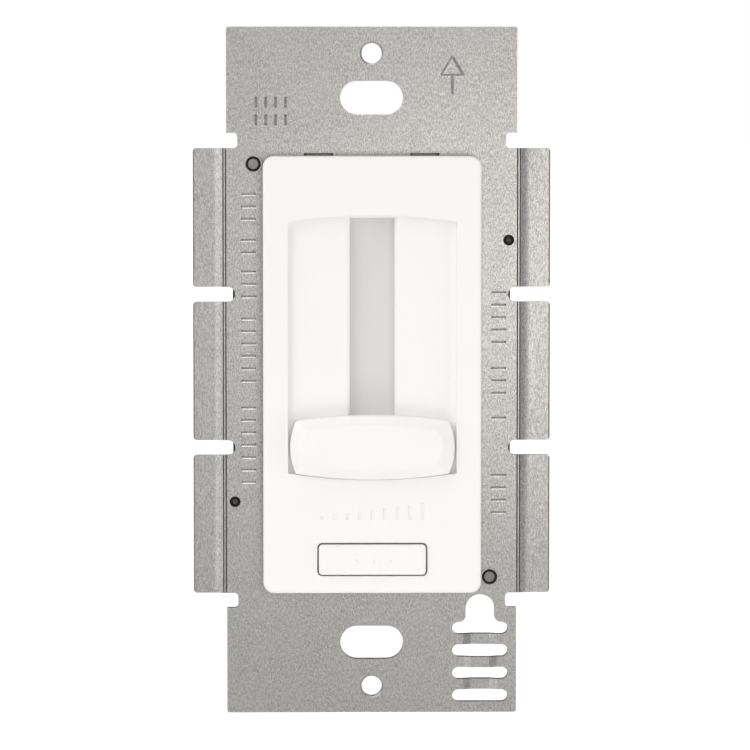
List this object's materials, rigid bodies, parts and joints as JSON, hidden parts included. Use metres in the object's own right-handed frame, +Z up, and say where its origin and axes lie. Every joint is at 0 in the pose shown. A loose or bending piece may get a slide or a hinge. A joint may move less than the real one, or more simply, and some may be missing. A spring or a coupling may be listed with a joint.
{
  "type": "slide dimmer switch",
  "caption": "Flush-mounted slide dimmer: finned metal strap, white face with a sliding knob and a push button, and a plastic rear housing.",
  "frame": {"origin": "centre of the device-screw pattern, on the back plane of the strap", "axes": "+X to the right seen from the room, -Y out of the wall towards the room, +Z up the wall"},
  "size_m": [0.0544, 0.0405, 0.105],
  "materials": {
    "strap_metal": "rolled satin with a fine vertical grain",
    "white_plastic": "moulded, smooth satin gloss",
    "strip_plastic": "translucent matte diffuser",
    "inner_plastic": "natural nylon",
    "plated_steel": "tin plated",
    "track_board": "phenolic carrier",
    "dark_plastic": "moulded matte",
    "spring_steel": "bright drawn wire",
    "contact_brass": "bright",
    "fish_paper": "pressed fibre sheet",
    "board_laminate": "paper phenolic laminate",
    "pad_rubber": "matte silicone pad",
    "rivet_metal": "bright",
    "ferrite": "matte sintered",
    "copper_wire": "enamelled copper",
    "film_plastic": "moulded box",
    "varistor_coat": "dipped epoxy",
    "diac_glass": "glass body",
    "resistor_coat": "lacquered",
    "led_plastic": "clear epoxy dome",
    "housing_plastic": "fine moulded texture",
    "screw_steel": "zinc plated"
  },
  "bodies": {
    "base": {"strap": "strap_metal", "face_frame": "white_plastic", "light_strip": "strip_plastic", "fader_can": "plated_steel", "fader_track": "track_board", "button_spring": "spring_steel", "switch_housing": "dark_plastic", "fixed_contacts": "contact_brass", "insulator_sheet": "fish_paper", "circuit_board": "board_laminate", "triac_tab": "plated_steel", "triac_case": "dark_plastic", "thermal_pad": "pad_rubber", "triac_rivet": "rivet_metal", "choke_core": "ferrite", "choke_winding": "copper_wire", "film_capacitor": "film_plastic", "timing_capacitor": "film_plastic", "varistor": "varistor_coat", "diac": "diac_glass", "resistors": "resistor_coat", "locator_led": "led_plastic", "lead_eyelets": "contact_brass", "rear_housing": "housing_plastic", "rear_cover": "housing_plastic", "housing_screws": "screw_steel"},
    "slider": {"slider_knob": "white_plastic", "slider_carriage": "inner_plastic", "fader_wiper": "dark_plastic"},
    "button": {"push_button": "white_plastic", "switch_plunger": "dark_plastic", "moving_contact": "contact_brass"}
  },
  "joints": [
    {"name": "slider_travel", "type": "slide", "parent": "base", "child": "slider", "axis": [0, 0, 1], "range_m": [0, 0.03]},
    {"name": "button_press", "type": "slide", "parent": "base", "child": "button", "axis": [0, 1, 0], "range_m": [0, 0.0012], "stiffness_N_per_m": 1200, "springref_m": -0.0005, "deforming": ["button_spring"]}
  ]
}
